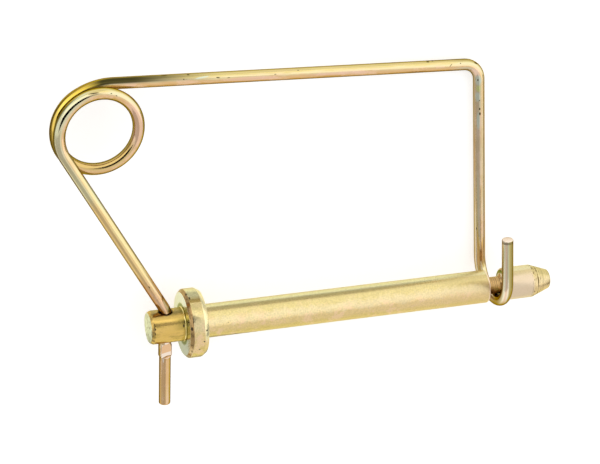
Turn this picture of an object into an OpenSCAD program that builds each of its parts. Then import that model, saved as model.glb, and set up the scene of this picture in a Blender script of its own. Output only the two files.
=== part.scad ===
// Wire lock pin: a turned steel pin with a collar and a retaining groove, and a one-piece spring
// wire that swivels in a cross hole through the pin's head. The wire runs from its tail up through
// the head, round a coil, along an arm over the shank and down to a hook that snaps into the groove.
// All lengths are in millimetres and all angles in degrees.
// The pin lies along X with its tip at +X. Its axis is the X axis, and the collar's bearing face is
// at X = 0. The part lies on its back: the wire's frame reaches out along +Y and the hook's free end
// points to +Y too, on the upper side.

/* [Shank] */
// Diameter of the bar that the pin is turned from
shank_d = 12.7; // [10:0.1:20]
// Usable length, from the collar's bearing face to the groove
shank_len = 114; // [70:1:180]
// Rounding of the shank's end at the groove
shoulder_round = 0.4; // [0.1:0.1:0.8]

/* [Head] */
// Diameter of the collar
collar_d = 26; // [20:0.5:40]
// Thickness of the collar
collar_t = 7.2; // [4:0.1:12]
// Depth of the chamfers on both edges of the collar, towards the pin's axis
collar_chamfer = 1.1; // [0.2:0.1:2]
// Length along the pin of the chamfer on the head's side
back_chamfer_len = 1.1; // [0.2:0.1:1.8]
// Length along the pin of the chamfer on the bearing side
front_chamfer_len = 1.7; // [0.2:0.1:2]
// Length of the head behind the collar, which holds the cross hole
head_len = 13; // [9:0.5:20]
// Depth of the chamfer round the head's end face
head_chamfer = 0.65; // [0.1:0.05:1.5]
// Length along the pin of that chamfer
head_chamfer_len = 1.1; // [0.1:0.05:1.5]
// Fillet between the head and the collar
head_fillet = 0.5; // [0.2:0.1:1.5]

/* [Groove and tip] */
// Diameter of the neck at the bottom of the groove
neck_d = 6.6; // [5:0.1:9]
// Width of the groove between its two walls
groove_w = 6.65; // [5.5:0.05:10]
// Fillet between the neck and the groove's outer wall
groove_fillet = 1.9; // [0.2:0.1:2.5]
// Rounding of the land's edge at the groove
land_round = 1.15; // [0.1:0.05:1.5]
// Length of the land between the groove's outer wall and the tip's cone
land_len = 11.85; // [6:0.05:20]
// Length of the cone at the tip
tip_len = 7.5; // [3:0.1:12]
// Diameter of the flat end of the tip
tip_d = 7.2; // [3:0.1:9]
// Chamfer between the cone and its flat end
tip_chamfer = 0.35; // [0.1:0.05:0.8]

/* [Cross hole] */
// Gap between the wire and the hole, all round
hole_gap = 0.15; // [0.05:0.05:0.5]
// Depth of the countersink at both ends of the hole
hole_sink = 0.8; // [0.2:0.1:1.2]

/* [Wire] */
// Diameter of the spring wire
wire_d = 4.5; // [3:0.1:5]
// Length of the tail that hangs below the head
tail_len = 26.5; // [15:0.5:40]
// Edge break at both cut ends of the wire
wire_chamfer = 0.4; // [0.1:0.05:0.8]

/* [Crimp] */
// Gap between the head and the crimp that stops the wire being pulled back through the hole
crimp_gap = 0.6; // [0.2:0.1:2]
// Length of the crimp
crimp_len = 5.4; // [3:0.1:8]
// Width of the wire across the crimp's bulged sides
crimp_w = 5.2; // [5.1:0.05:5.8]
// Thickness of the wire between the crimp's flats at their deep end
crimp_t = 3; // [2.4:0.1:4]
// Angle at which the flats run out towards the head
crimp_runout = 3; // [0:0.5:8]
// Direction that the crimp's flats face, turned about the cross hole from the pin's axis
crimp_turn = -90; // [-180:1:180]
// Angle by which the jaws were held off square to the wire
crimp_tilt = 12; // [0:1:20]

/* [Leg and coil] */
// Height of the first bend above the head's surface
bend_rise = 0.3; // [0.2:0.05:3]
// Radius of the first bend, to the wire's centre line
bend_r = 4.5; // [3:0.1:8]
// Angle that the leg leans away from the shank
leg_lean = 29.5; // [15:1:45]
// Length of the leg, from the first bend to the coil
leg_len = 76.5; // [50:1:110]
// Radius of the coil, to the wire's centre line
coil_r = 15; // [10:0.5:22]
// Gap between the coil's two strands
coil_gap = 0.36; // [0.2:0.02:2]
// Radius of the easier bend where the wire leaves the coil for the arm
exit_r = 25; // [15:0.5:45]
// Angle of that easier bend
exit_bend = 33; // [5:1:60]

/* [Arm and hook] */
// Angle at which the arm falls towards the tip
arm_drop = 3.7; // [0:0.1:8]
// Angle through which the wire turns at the corner
corner_bend = 82; // [75:0.5:90]
// Radius of the corner, to the wire's centre line
corner_r = 7; // [4:0.5:12]
// Radius of the hook, to the wire's centre line
hook_r = 12.7; // [9.5:0.1:20]
// Distance of the hook's lowest point behind the pin's axis
hook_back = 1; // [0:0.1:3]
// Gap between the hook and the neck it sits under
hook_gap = 0.1; // [0.05:0.05:1]
// Gap between the hook and the groove's outer wall, measured along the pin
hook_side_gap = 0.1; // [0.05:0.05:1]
// Length of the hook's straight free end
hook_end_len = 18.5; // [8:0.5:30]

/* [Hidden] */

pin_fn = 96;
wire_sides = 24;
arc_step = 7.5;
eps = 0.01;

shank_r = shank_d / 2;
neck_r = neck_d / 2;
tip_r = tip_d / 2;
collar_r = collar_d / 2;
wire_r = wire_d / 2;

head_end_x = -collar_t - head_len;
hole_x = -collar_t - head_len / 2;
groove_end_x = shank_len + groove_w;
tip_start_x = groove_end_x + land_len;
tip_end_x = tip_start_x + tip_len;

hole_r = wire_r + hole_gap;
groove_depth = shank_r - neck_r;
land_edge_r = min(land_round, groove_depth / 2);
wall_fillet_r = min(groove_fillet, groove_depth - land_edge_r);

// Wire frame: its origin is on the cross hole's axis at the pin's axis, z runs up the hole, x runs
// towards the tip and y runs to the back of the pin.
bend_z = shank_r + bend_rise;
stem_top_z = bend_z - bend_r * tan(leg_lean / 2);
stem_end_z = -shank_r - tail_len;
crimp_top_z = -shank_r - crimp_gap;

leg_dir = [-sin(leg_lean), 0, cos(leg_lean)];
leg_top = [0, 0, bend_z] + leg_len * leg_dir;
coil_centre = leg_top + coil_r * [cos(leg_lean), 0, sin(leg_lean)];
coil_start = 180 + leg_lean;
coil_sweep = 360 + 90 + leg_lean + arm_drop;
coil_pitch = wire_d + coil_gap;
coil_step = coil_pitch * coil_sweep / 360;

// The hook's lowest point sits under the neck and beside the groove's outer wall. The wire swivels
// a little about the hole to put it there.
hook_x = groove_end_x - wire_r - hook_side_gap;
hook_z = -neck_r - wire_r - hook_gap;
reach = norm([hook_x - hole_x, hook_back]);
hook_side = coil_step - hook_r;
hook_along = sqrt(reach * reach - hook_side * hook_side);
rest_swivel = atan(hook_back / (hook_x - hole_x)) - atan(hook_side / hook_along);
hook_bottom = [hook_along, hook_side, hook_z];

arm_dir = [cos(arm_drop), 0, -sin(arm_drop)];
drop_dir = [cos(arm_drop + corner_bend), 0, -sin(arm_drop + corner_bend)];
hook_start = hook_bottom + hook_r * ([0, 1, 0] - drop_dir);
hook_finish = hook_start - [0, 2 * hook_r, 0];
arm_start = coil_point(coil_sweep);
corner = cross_point(arm_start, arm_dir, hook_start, drop_dir);

// Point of the coil after the wire has turned by the angle turned, from the leg (0) to the arm
// (coil_sweep). The last part of the turn has the easier radius.
function coil_point(turned) =
    let (
        round_part = coil_sweep - exit_bend,
        at = coil_start - turned,
        from = coil_start - round_part,
        shift = turned > round_part ? exit_r - coil_r : 0
    )
    coil_centre
    - shift * [cos(from), 0, sin(from)]
    + (coil_r + shift) * [cos(at), 0, sin(at)]
    + [0, coil_pitch * turned / 360, 0];

// Where the line from a along u meets the line from b along v, both seen along y.
function cross_point(a, u, b, v) =
    let (d = b - a, det = u[0] * v[2] - u[2] * v[0])
    a + u * (d[0] * v[2] - d[2] * v[0]) / det;

// Points along a bend of radius r that turns the direction u into v about the vertex p.
function bend_points(p, u, v, r) =
    let (
        angle = acos(u * v),
        steps = ceil(angle / arc_step),
        start = p - u * r * tan(angle / 2),
        side = unit(v - u * (u * v))
    )
    [for (i = [0:steps]) let (t = angle * i / steps) start + r * (u * sin(t) + side * (1 - cos(t)))];

// Points along the half circle of the hook, from the drop to the free end.
function hook_points() =
    let (steps = ceil(180 / arc_step), mid = hook_start - [0, hook_r, 0])
    [for (i = [0:steps]) let (t = 180 * i / steps) mid + hook_r * ([0, cos(t), 0] + drop_dir * sin(t))];

function coil_points() =
    let (steps = ceil(coil_sweep / arc_step))
    [for (i = [0:steps]) coil_point(coil_sweep * i / steps)];

function wire_path() = concat(
    [[0, 0, stem_top_z - wire_r]],
    bend_points([0, 0, bend_z], [0, 0, 1], leg_dir, bend_r),
    coil_points(),
    bend_points(corner, arm_dir, drop_dir, corner_r),
    hook_points(),
    [
        hook_finish - drop_dir * (hook_end_len - wire_chamfer),
        hook_finish - drop_dir * hook_end_len
    ]
);

function unit(v) = v / norm(v);

// Direction of a path at its point i, halfway between the pieces that meet there.
function path_dir(path, i) =
    let (last = len(path) - 1)
    unit(
        (i > 0 ? unit(path[i] - path[i - 1]) : [0, 0, 0])
        + (i < last ? unit(path[i + 1] - path[i]) : [0, 0, 0])
    );

// Part of v that is square to the direction d, made one unit long.
function square_to(v, d) = unit(v - d * (v * d));

// One side direction for each point of a path, carried along without twist.
function path_sides(path) = [
    for (
        i = 0, side = square_to([0, 1, 0], path_dir(path, 0));
        i < len(path);
        i = i + 1, side = i < len(path) ? square_to(side, path_dir(path, i)) : side
    ) side
];

// Points of an arc with centre c, for a polygon.
function arc_points(c, r, from, to, steps = 12) = [
    for (i = [0:steps]) let (t = from + (to - from) * i / steps) c + r * [cos(t), sin(t)]
];

// Round bar along a path. Its last ring is drawn in by end_chamfer.
module sweep(path, r, end_chamfer) {
    sides = path_sides(path);
    last = len(path) - 1;
    rings = [
        for (i = [0:last])
            let (
                dir = path_dir(path, i),
                a = sides[i],
                b = cross(dir, a),
                ring_r = i < last ? r : r - end_chamfer
            )
            for (k = [0:wire_sides - 1])
                let (t = 360 * k / wire_sides)
                path[i] + ring_r * (a * cos(t) + b * sin(t))
    ];
    n = wire_sides;
    walls = [
        for (i = [0:last - 1])
            for (k = [0:n - 1])
                let (p = i * n + k, q = i * n + (k + 1) % n)
                each [[p, p + n, q], [q, p + n, q + n]]
    ];
    start_cap = [for (k = [0:n - 1]) k];
    end_cap = [for (k = [n - 1:-1:0]) last * n + k];
    polyhedron(points = rings, faces = concat([start_cap, end_cap], walls));
}

// Lays the upright part on its back, so that the back of the pin faces down.
module lay_down() {
    rotate([-90, 0, 0]) children();
}

// Solid of revolution about the pin's axis, from [x, radius] points.
module turn_on_axis(points) {
    rotate([0, 90, 0])
        rotate_extrude($fn = pin_fn)
            polygon([for (p = points) [p[1], p[0]]]);
}

module pin_blank() {
    collar_back = -collar_t;
    fillet_centre = [collar_back - head_fillet, shank_r + head_fillet];
    shoulder_centre = [shank_len - shoulder_round, shank_r - shoulder_round];
    neck_centre = [groove_end_x - wall_fillet_r, neck_r + wall_fillet_r];
    land_centre = [groove_end_x + land_edge_r, shank_r - land_edge_r];
    cone_slope = (shank_r - tip_r) / tip_len;
    turn_on_axis(concat(
        [
            [head_end_x, 0],
            [head_end_x, shank_r - head_chamfer],
            [head_end_x + head_chamfer_len, shank_r]
        ],
        arc_points(fillet_centre, head_fillet, -90, 0),
        [
            [collar_back, collar_r - collar_chamfer],
            [collar_back + back_chamfer_len, collar_r],
            [-front_chamfer_len, collar_r],
            [0, collar_r - collar_chamfer],
            [0, shank_r]
        ],
        arc_points(shoulder_centre, shoulder_round, 90, 0),
        [[shank_len, neck_r]],
        arc_points(neck_centre, wall_fillet_r, -90, 0),
        arc_points(land_centre, land_edge_r, 180, 90),
        [
            [tip_start_x, shank_r],
            [tip_end_x - tip_chamfer, tip_r + cone_slope * tip_chamfer],
            [tip_end_x, tip_r - tip_chamfer],
            [tip_end_x, 0]
        ]
    ));
}

// Cross hole through the head, countersunk at both ends.
module cross_hole() {
    sink_start = shank_r - hole_sink;
    sink_r = hole_r + hole_sink + eps;
    translate([hole_x, 0, 0]) {
        cylinder(h = 2 * shank_r + 2, r = hole_r, center = true, $fn = pin_fn);
        for (turn = [0, 180])
            rotate([turn, 0, 0])
                translate([0, 0, sink_start])
                    cylinder(h = hole_sink + eps, r1 = hole_r, r2 = sink_r, $fn = pin_fn);
    }
}

module pin() {
    color([0.83, 0.74, 0.47])
        lay_down()
            difference() {
                pin_blank();
                cross_hole();
            }
}

// Straight stem of the wire: the tail, the bulge of the crimp and the length inside the hole.
module stem_round() {
    bulge_r = crimp_w / 2;
    ease = bulge_r - wire_r;
    crimp_end_z = crimp_top_z - crimp_len;
    rotate_extrude($fn = pin_fn)
        polygon([
            [0, stem_end_z],
            [wire_r - wire_chamfer, stem_end_z],
            [wire_r, stem_end_z + wire_chamfer],
            [wire_r, crimp_end_z - ease],
            [bulge_r, crimp_end_z + ease],
            [bulge_r, crimp_top_z - 3 * ease],
            [wire_r, crimp_top_z],
            [wire_r, stem_top_z],
            [0, stem_top_z]
        ]);
}

// The two flats that the crimping jaws press into opposite sides of the stem.
module crimp_flats() {
    translate([0, 0, crimp_top_z - crimp_len])
        rotate([crimp_tilt, 0, crimp_turn])
            for (turn = [0, 180])
                rotate([0, 0, turn])
                    translate([crimp_t / 2, -wire_d, 0])
                        rotate([0, crimp_runout, 0])
                            cube([wire_d, 2 * wire_d, crimp_len]);
}

module stem() {
    difference() {
        stem_round();
        crimp_flats();
    }
}

module wire() {
    color([0.72, 0.62, 0.34])
        lay_down()
            translate([hole_x, 0, 0])
                rotate([0, 0, rest_swivel]) {
                    stem();
                    sweep(wire_path(), wire_r - eps, wire_chamfer);
                }
}

pin();
wire();
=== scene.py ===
import math

import bmesh
import bpy
from mathutils import Matrix, Vector


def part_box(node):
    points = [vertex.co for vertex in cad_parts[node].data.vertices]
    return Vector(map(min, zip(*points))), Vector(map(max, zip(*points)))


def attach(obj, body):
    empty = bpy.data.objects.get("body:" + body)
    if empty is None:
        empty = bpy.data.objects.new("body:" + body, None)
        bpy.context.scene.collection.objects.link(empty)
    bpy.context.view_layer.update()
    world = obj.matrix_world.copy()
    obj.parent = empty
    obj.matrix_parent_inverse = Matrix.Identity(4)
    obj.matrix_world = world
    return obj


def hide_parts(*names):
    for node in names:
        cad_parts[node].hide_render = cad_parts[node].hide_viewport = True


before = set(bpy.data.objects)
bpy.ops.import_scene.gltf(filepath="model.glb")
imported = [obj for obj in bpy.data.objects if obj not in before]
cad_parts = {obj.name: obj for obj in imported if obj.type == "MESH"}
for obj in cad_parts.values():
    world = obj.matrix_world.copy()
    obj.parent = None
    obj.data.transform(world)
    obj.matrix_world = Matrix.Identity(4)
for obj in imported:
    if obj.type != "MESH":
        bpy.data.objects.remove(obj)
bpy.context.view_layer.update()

touching = 1e-6        # metres: points closer than this are at one place
smoothAngle = 35       # degrees: edges sharper than this stay sharp
oddPlace = (0.11, 0.23, 0.37)      # no two points of a piece are equally far from it


def deselectAll():
    for thing in bpy.context.selected_objects:
        thing.select_set(False)


def makeActive(piece):
    deselectAll()
    piece.select_set(True)
    bpy.context.view_layer.objects.active = piece


def edit(piece):
    makeActive(piece)
    bpy.ops.object.mode_set(mode='EDIT')


def leaveEdit():
    bpy.ops.object.mode_set(mode='OBJECT')


def applyPlace(piece):
    makeActive(piece)
    bpy.ops.object.transform_apply(location=True, rotation=True, scale=True)


def smooth(piece):
    makeActive(piece)
    bpy.ops.object.shade_smooth_by_angle(angle=math.radians(smoothAngle))


def nameNew(name):
    # names what an operator has just added
    thing = bpy.context.object
    thing.name = name
    return thing


def selectVerts(piece, wanted):
    # picks the vertices whose place passes the test, in edit mode
    bpy.ops.mesh.select_mode(type='VERT')
    bpy.ops.mesh.select_all(action='DESELECT')
    cage = bmesh.from_edit_mesh(piece.data)
    for vert in cage.verts:
        vert.select_set(wanted(vert.co))
    cage.select_flush_mode()
    bmesh.update_edit_mesh(piece.data)


def sortPoints():
    # a cut leaves points, edges and faces in another order on each run, so they get a fixed one
    cursor = bpy.context.scene.cursor
    cursor.location = oddPlace
    bpy.ops.mesh.select_all(action='SELECT')
    bpy.ops.mesh.sort_elements(type='CURSOR_DISTANCE', elements={'VERT', 'EDGE', 'FACE'})
    cursor.location = (0, 0, 0)


def pushOut(step):
    # extrudes what is selected and leaves the new part selected
    bpy.ops.mesh.extrude_region_move(TRANSFORM_OT_translate={'value': tuple(step)})


def cutAway(piece, cutter):
    # takes one shape out of another and throws the cutter away
    cut = piece.modifiers.new('cut', 'BOOLEAN')
    cut.operation = 'DIFFERENCE'
    cut.solver = 'EXACT'
    cut.object = cutter
    makeActive(piece)
    bpy.ops.object.modifier_apply(modifier=cut.name)
    bpy.data.objects.remove(cutter, do_unlink=True)


cameraLook = {
    'turn': 18.888,        # degrees round to the head's side
    'climb': 26.074,       # degrees above the pin's axis, towards the coil
    'roll': 2.025,
    'away': 0.90526,
    'right': 0.035755,     # point looked at, in the picture's plane
    'rise': 0.034594,
    'lens': 145.874,       # mm, as is the sensor's width
    'sensor': 36.0,
    'nearest': 0.05,
    'farthest': 20,
}


def addCamera():
    turn = math.radians(cameraLook['turn'])
    climb = math.radians(cameraLook['climb'])
    roll = math.radians(cameraLook['roll'])
    back = Vector((-math.sin(turn) * math.cos(climb), math.sin(climb), math.cos(turn) * math.cos(climb)))
    side = Vector((math.cos(turn), 0, math.sin(turn)))
    top = back.cross(side)
    place = back * cameraLook['away'] + side * cameraLook['right'] + top * cameraLook['rise']
    level = Matrix((side, top, back)).transposed()
    turned = level @ Matrix.Rotation(roll, 3, 'Z')
    bpy.ops.object.camera_add(location=place, rotation=turned.to_euler())
    camera = nameNew('photoCamera')
    camera.data.sensor_width = cameraLook['sensor']
    camera.data.lens = cameraLook['lens']
    camera.data.clip_start = cameraLook['nearest']
    camera.data.clip_end = cameraLook['farthest']
    bpy.context.scene.camera = camera


addCamera()
print('camera placed')


pinSize = {
    'shankRadius': 0.00635,
    'shankLength': 0.114,
    'shoulderRound': 0.0004,
    'collarRadius': 0.013,
    'collarThick': 0.0072,
    'collarChamfer': 0.0011,
    'backChamferLength': 0.0011,
    'frontChamferLength': 0.0017,
    'headLength': 0.013,
    'headChamfer': 0.00065,
    'headChamferLength': 0.0011,
    'headFillet': 0.0005,
    'neckRadius': 0.0033,
    'grooveWidth': 0.00665,
    'grooveFillet': 0.0019,
    'neckCorner': 0.0002,
    'landRound': 0.00115,
    'landLength': 0.01185,
    'tipLength': 0.0075,
    'tipRadius': 0.0036,
    'tipChamfer': 0.00035,
    'rimBreak': 0.0002,        # rounding of the edges that are handled
    'edgeBreak': 0.00012,      # rounding of the edges beside the faces
    'fineBreak': 0.0001,       # rounding of the faint edges
    'holeRadius': 0.0024,
    'holeSink': 0.0008,
    'drillSpare': 0.001,       # how far the drill reaches past the bar
    'steps': 192,
    'drillSteps': 96,
}

wireSize = {
    'diameter': 0.0045,
    'sides': 64,
    'tailLength': 0.0265,      # below the head
    'cutRound': 0.0004,
    'cutSegments': 3,
    'crimpGap': 0.0006,
    'crimpLength': 0.0054,
    'crimpWidth': 0.0052,
    'crimpThick': 0.003,
    'crimpRunout': 3,
    'crimpTurn': -90,
    'crimpTilt': 12,
    'crimpSoft': 0.00014,      # rounding of the pressed edges
    'crimpSegments': 2,
    'crimpSharp': 20,          # degrees: edges sharper than this are rounded
    'crimpSliver': 0.0001,
    'crimpReach': (1.3, 0.2),  # how far below and above its top, in lengths of the crimp
    'bendRise': 0.0003,
    'bendRadius': 0.0045,
    'legLean': 29.5,
    'legLength': 0.0765,
    'coilTurns': 1.25,         # before the leg's lean and the arm's drop are added
    'coilRadius': 0.015,
    'coilGap': 0.00036,
    'coilEase': 0.04,          # share of the coil over which its sideways travel starts and stops
    'exitRadius': 0.025,
    'exitBend': 33,
    'armDrop': 3.7,
    'cornerBend': 82,
    'cornerRadius': 0.007,
    'hookRadius': 0.0127,
    'hookBack': 0.001,
    'hookGap': 0.0001,
    'hookSideGap': 0.0001,
    'hookEndLength': 0.0185,
    'stepAngle': 4,            # degrees between two rings of a bend
    'slack': 0.00006,          # keeps the rounding inside the CAD wire
    # rings of points along each straight stretch
    'tailRings': 12,
    'crimpRings': 4,
    'stemRings': 2,
    'legRings': 24,
    'armRings': 30,
    'dropRings': 24,
    'hookEndRings': 10,
}


def planWire():
    # works out where the bends go, in the upright frame round the cross hole
    w, p = wireSize, pinSize
    radius = w['diameter'] / 2
    lean = math.radians(w['legLean'])
    drop = math.radians(w['armDrop'])
    holeX = -p['collarThick'] - p['headLength'] / 2
    plan = {'radius': radius, 'holeX': holeX}
    plan['bend'] = Vector((0, 0, p['shankRadius'] + w['bendRise']))
    plan['stemTop'] = plan['bend'].z - w['bendRadius'] * math.tan(lean / 2)
    plan['stemEnd'] = -p['shankRadius'] - w['tailLength']
    plan['legDir'] = Vector((-math.sin(lean), 0, math.cos(lean)))
    legTop = plan['bend'] + w['legLength'] * plan['legDir']
    plan['legTop'] = legTop
    plan['coilCentre'] = legTop + w['coilRadius'] * Vector((math.cos(lean), 0, math.sin(lean)))
    plan['coilSweep'] = 360 * w['coilTurns'] + w['legLean'] + w['armDrop']
    plan['coilStep'] = (w['diameter'] + w['coilGap']) * plan['coilSweep'] / 360
    hookX = p['shankLength'] + p['grooveWidth'] - radius - w['hookSideGap']
    hookZ = -p['neckRadius'] - radius - w['hookGap']
    reach = math.hypot(hookX - holeX, w['hookBack'])
    hookSideShade = plan['coilStep'] - w['hookRadius']
    along = math.sqrt(reach ** 2 - hookSideShade ** 2)
    plan['swivel'] = math.atan2(w['hookBack'], hookX - holeX) - math.atan2(hookSideShade, along)
    bottom = Vector((along, hookSideShade, hookZ))
    fall = math.radians(w['armDrop'] + w['cornerBend'])
    plan['armDir'] = Vector((math.cos(drop), 0, -math.sin(drop)))
    plan['dropDir'] = Vector((math.cos(fall), 0, -math.sin(fall)))
    plan['hookStart'] = bottom + w['hookRadius'] * (Vector((0, 1, 0)) - plan['dropDir'])
    # the coil's last part is an easier bend about a centre further off
    easyFrom = math.radians(180 + w['legLean'] - plan['coilSweep'] + w['exitBend'])
    outward = Vector((math.cos(easyFrom), 0, math.sin(easyFrom)))
    plan['exitCentre'] = plan['coilCentre'] - (w['exitRadius'] - w['coilRadius']) * outward
    last = math.radians(180 + w['legLean'] - plan['coilSweep'])
    armStart = plan['exitCentre'] + w['exitRadius'] * Vector((math.cos(last), 0, math.sin(last)))
    armStart.y = plan['coilStep']
    u, v = plan['armDir'], plan['dropDir']
    gap = plan['hookStart'] - armStart
    plan['corner'] = armStart + u * (gap.x * v.z - gap.z * v.x) / (u.x * v.z - u.z * v.x)
    return plan


def noteLength(piece, length):
    # writes how far along the wire the selected ring is; the place round it came with the first ring
    cage = bmesh.from_edit_mesh(piece.data)
    stock = cage.verts.layers.float_vector['stock']
    for vert in cage.verts:
        if vert.select:
            vert[stock] = (vert[stock].x, vert[stock].y, length)


def straight(piece, state, length, rings=1):
    for i in range(rings):
        pushOut(state['dir'] * length / rings)
        state['at'] = state['at'] + state['dir'] * length / rings
        state['run'] += length / rings
        noteLength(piece, state['run'])


def widen(state, share):
    bpy.ops.transform.resize(value=(share, share, 1), center_override=state['at'])


def bendWire(piece, state, centre, axis, angle, slides=None):
    # bends on round the axis; slides gives the sideways travel at each step
    steps = math.ceil(abs(angle) / wireSize['stepAngle'])
    turn = math.radians(angle) / steps
    radius = (state['at'] - centre - axis * (state['at'] - centre).dot(axis)).length
    for i in range(steps):
        bpy.ops.mesh.spin(steps=1, angle=-turn, center=centre, axis=axis)   # spin counts the other way
        spun = Matrix.Rotation(turn, 3, axis)
        state['at'] = centre + spun @ (state['at'] - centre)
        state['dir'] = spun @ state['dir']
        if slides:
            slide = Vector((0, slides[i + 1] - slides[i], 0))
            bpy.ops.transform.translate(value=slide)
            state['at'] = state['at'] + slide
        state['run'] += radius * abs(turn)
        noteLength(piece, state['run'])


def easedSlide(steps, share, total):
    # even travel over the steps, eased in and out over a share of them
    easing = max(1, round(steps * share))
    speed = [min(1, (i + 0.5) / easing, (steps - i - 0.5) / easing) for i in range(steps)]
    places = [0]
    for value in speed:
        places.append(places[-1] + value)
    return [total * place / places[-1] for place in places]


def closeEnd():
    # fills the open end that is selected and rounds its rim
    bpy.ops.mesh.edge_face_add()
    bpy.ops.mesh.bevel(offset=wireSize['cutRound'], segments=wireSize['cutSegments'], affect='EDGES')


def startWire(state, radius):
    # the first ring, which carries its own place as the wire's straight stock
    bpy.ops.mesh.primitive_circle_add(vertices=wireSize['sides'], radius=radius, location=state['at'])
    wire = nameNew('lockWire')
    applyPlace(wire)
    edit(wire)
    cage = bmesh.from_edit_mesh(wire.data)
    stock = cage.verts.layers.float_vector.new('stock')
    for vert in cage.verts:
        vert[stock] = (vert.co.x, vert.co.y, 0)
    bpy.ops.mesh.select_all(action='SELECT')
    return wire


def drawTail(wire, state, plan, crimpTop):
    # the tail, with the bulge that the crimping jaws raised
    w = wireSize
    bulge = w['crimpWidth'] / w['diameter']
    flare = (w['crimpWidth'] - w['diameter']) / 2
    straight(wire, state, crimpTop - w['crimpLength'] - flare - plan['stemEnd'], w['tailRings'])
    straight(wire, state, 2 * flare)
    widen(state, bulge)
    straight(wire, state, w['crimpLength'] - 4 * flare, w['crimpRings'])
    straight(wire, state, 3 * flare)
    widen(state, 1 / bulge)
    straight(wire, state, plan['stemTop'] - crimpTop, w['stemRings'])


def drawCoil(wire, state, plan, back):
    # the coil, then the easier bend into the arm
    w = wireSize
    full = plan['coilSweep'] - w['exitBend']
    fullSteps = math.ceil(full / w['stepAngle'])
    exitSteps = math.ceil(w['exitBend'] / w['stepAngle'])
    slides = easedSlide(fullSteps + exitSteps, w['coilEase'], plan['coilStep'])
    bendWire(wire, state, plan['coilCentre'], back, full, slides)
    bendWire(wire, state, plan['exitCentre'], back, w['exitBend'], slides[fullSteps:])


def softenCrimp(piece, low, high):
    # rounds the edges that the jaws left, after the slivers beside them are closed
    w = wireSize
    edit(piece)
    sortPoints()
    selectVerts(piece, lambda co: low < co.z < high)
    bpy.ops.mesh.remove_doubles(threshold=w['crimpSliver'])
    sortPoints()
    bpy.ops.mesh.select_mode(type='EDGE')
    bpy.ops.mesh.select_all(action='DESELECT')
    cage = bmesh.from_edit_mesh(piece.data)
    for edge in cage.edges:
        inside = all(low < vert.co.z < high for vert in edge.verts)
        sharp = edge.is_manifold and edge.calc_face_angle() > math.radians(w['crimpSharp'])
        edge.select_set(inside and sharp)
    bmesh.update_edit_mesh(piece.data)
    bpy.ops.mesh.bevel(
        offset=w['crimpSoft'], segments=w['crimpSegments'], affect='EDGES', clamp_overlap=True)
    leaveEdit()


def pressCrimp(piece, crimpTop):
    # the jaws' two flats, deep at their lower end and running out towards the head
    w = wireSize
    length, deep = w['crimpLength'], w['crimpThick'] / 2
    for side in (0, 180):
        deselectAll()
        bpy.ops.mesh.primitive_cube_add(size=1, location=(0, 0, 0))
        jaw = bpy.context.object
        jaw.matrix_world = (
            Matrix.Translation((0, 0, crimpTop - length))
            @ Matrix.Rotation(math.radians(w['crimpTurn']), 4, 'Z')
            @ Matrix.Rotation(math.radians(w['crimpTilt']), 4, 'X')
            @ Matrix.Rotation(math.radians(side), 4, 'Z')
            @ Matrix.Translation((deep, 0, 0))
            @ Matrix.Rotation(math.radians(w['crimpRunout']), 4, 'Y')
            @ Matrix.Translation((w['diameter'] / 2, 0, length / 2))
            @ Matrix.Diagonal((w['diameter'], 2 * w['diameter'], length, 1))
        )
        applyPlace(jaw)
        cutAway(piece, jaw)
    below, above = w['crimpReach']
    softenCrimp(piece, crimpTop - below * length, crimpTop + above * length)


def makeWire():
    w, plan = wireSize, planWire()
    state = {'at': Vector((0, 0, plan['stemEnd'])), 'dir': Vector((0, 0, 1)), 'run': 0.0}
    runs = {}
    deselectAll()
    wire = startWire(state, plan['radius'] - w['slack'])
    crimpTop = -pinSize['shankRadius'] - w['crimpGap']
    drawTail(wire, state, plan, crimpTop)
    runs['bend'] = state['run']
    # first bend, leg and coil
    back = Vector((0, 1, 0))
    bendWire(wire, state, state['at'] - Vector((w['bendRadius'], 0, 0)), back, -w['legLean'])
    straight(wire, state, (plan['legTop'] - state['at']).length, w['legRings'])
    runs['coil'] = state['run']
    drawCoil(wire, state, plan, back)
    runs['arm'] = state['run']
    # arm, corner and drop
    cornerCut = w['cornerRadius'] * math.tan(math.radians(w['cornerBend']) / 2)
    straight(wire, state, (plan['corner'] - state['at']).length - cornerCut, w['armRings'])
    runs['corner'] = state['run']
    cornerCentre = state['at'] + plan['armDir'].cross(back).normalized() * -w['cornerRadius']
    bendWire(wire, state, cornerCentre, back, w['cornerBend'])
    straight(wire, state, (plan['hookStart'] - state['at']).length, w['dropRings'])
    runs['hook'] = state['run']
    # hook and its free end
    hookAxis = back.cross(plan['dropDir'])
    bendWire(wire, state, state['at'] - back * w['hookRadius'], hookAxis, 180)
    straight(wire, state, w['hookEndLength'], w['hookEndRings'])
    runs['end'] = state['run']
    closeEnd()
    selectVerts(wire, lambda co: abs(co.z - plan['stemEnd']) < touching)
    closeEnd()
    bpy.ops.mesh.select_all(action='SELECT')
    bpy.ops.mesh.normals_make_consistent(inside=False)
    leaveEdit()
    pressCrimp(wire, crimpTop)
    wire.matrix_world = (
        Matrix.Rotation(math.radians(-90), 4, 'X')
        @ Matrix.Translation((plan['holeX'], 0, 0))
        @ Matrix.Rotation(plan['swivel'], 4, 'Z')
    )
    applyPlace(wire)
    smooth(wire)
    print('wire bent, metres long:', round(state['run'], 4))
    return wire, runs


wire, wireRuns = makeWire()
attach(wire, 'wire')
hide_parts('wire')


def pinPlaces():
    # where the pin's shoulders lie along it
    p = pinSize
    grooveEnd = p['shankLength'] + p['grooveWidth']
    return {
        'headEnd': -p['collarThick'] - p['headLength'],
        'hole': -p['collarThick'] - p['headLength'] / 2,
        'collarBack': -p['collarThick'],
        'grooveStart': p['shankLength'],
        'grooveEnd': grooveEnd,
        'tipStart': grooveEnd + p['landLength'],
        'tipEnd': grooveEnd + p['landLength'] + p['tipLength'],
    }


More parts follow.
